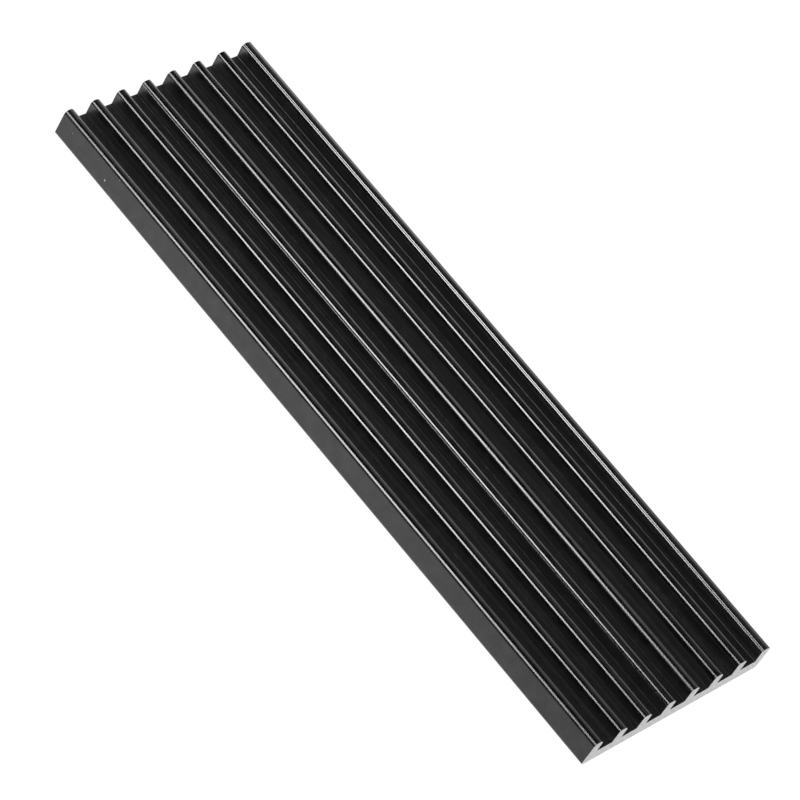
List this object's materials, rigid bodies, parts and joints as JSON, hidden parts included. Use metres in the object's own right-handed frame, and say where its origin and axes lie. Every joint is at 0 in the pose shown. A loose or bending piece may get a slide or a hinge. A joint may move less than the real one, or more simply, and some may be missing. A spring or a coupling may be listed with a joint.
{
  "type": "ssd heat sink",
  "caption": "Slim rectangular heat sink for a solid-state drive: a flat plate with straight round-topped fins along its whole length, black, with bare sawn ends.",
  "frame": {"origin": "centre of the flat underside", "axes": "+Y along the fins, +X across them, +Z from the underside up through the fins"},
  "size_m": [0.022, 0.07, 0.003],
  "materials": {
    "black_anodised_aluminium": "satin black anodised, with the two sawn ends bare"
  },
  "bodies": {
    "root": {"finned_extrusion": "black_anodised_aluminium"}
  },
  "joints": []
}
